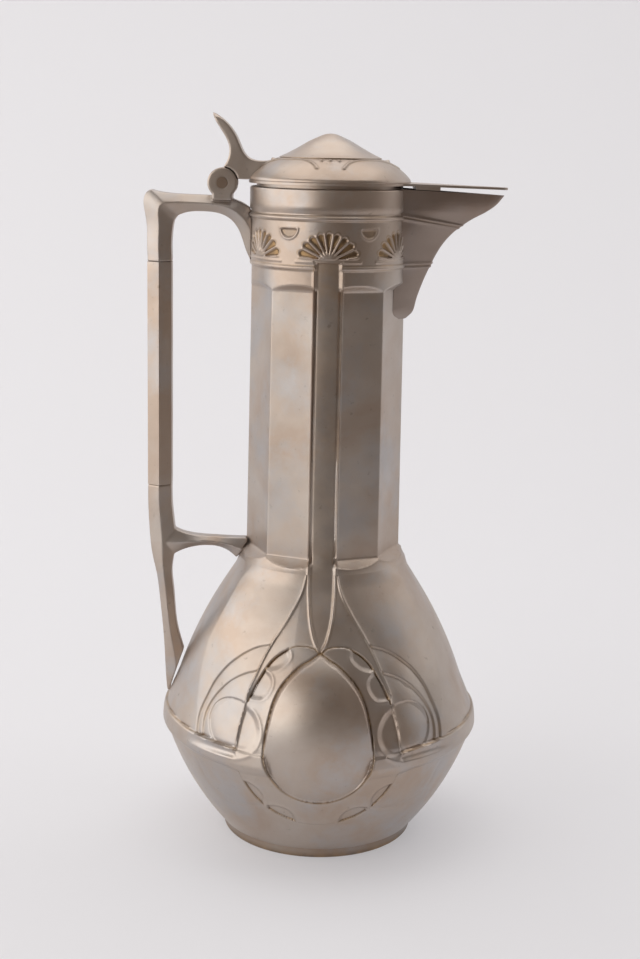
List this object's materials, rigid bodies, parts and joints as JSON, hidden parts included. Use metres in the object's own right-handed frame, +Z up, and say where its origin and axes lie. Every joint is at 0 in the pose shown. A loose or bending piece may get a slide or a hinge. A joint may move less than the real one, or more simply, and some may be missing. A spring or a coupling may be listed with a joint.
{
  "type": "pewter wine pitcher",
  "caption": "Tall pewter pitcher with faceted neck, egg bosses on a round belly, V-shaped spout, straight six-sided handle grip and a domed lid that swings up on a thumb lever",
  "frame": {"origin": "centre of the flat underside of the foot, on the axis of the body", "axes": "+Z up along the axis of the body, +X towards the tip of the spout, -X towards the handle, -Y and +Y towards the two main ornaments"},
  "size_m": [0.1762, 0.1628, 0.362],
  "materials": {
    "pewter": "satin",
    "pin": "satin"
  },
  "bodies": {
    "pitcher": {"foot_ring": "pewter", "base_plate": "pewter", "belly_front": "pewter", "belly_back": "pewter", "neck_shell": "pewter", "spout": "pewter", "handle_top_bracket": "pewter", "handle_grip": "pewter", "handle_bottom_bracket": "pewter", "hinge_pin": "pin"},
    "lid": {"lid_dome": "pewter", "lid_plate": "pewter", "lid_bezel": "pewter", "lid_rest": "pewter", "lid_lever": "pewter"}
  },
  "joints": [
    {"name": "lid_hinge", "type": "hinge", "parent": "pitcher", "child": "lid", "pos_m": [-0.0518, 0, 0.3288], "axis": [0, -1, 0], "range_deg": [0, 85]}
  ]
}
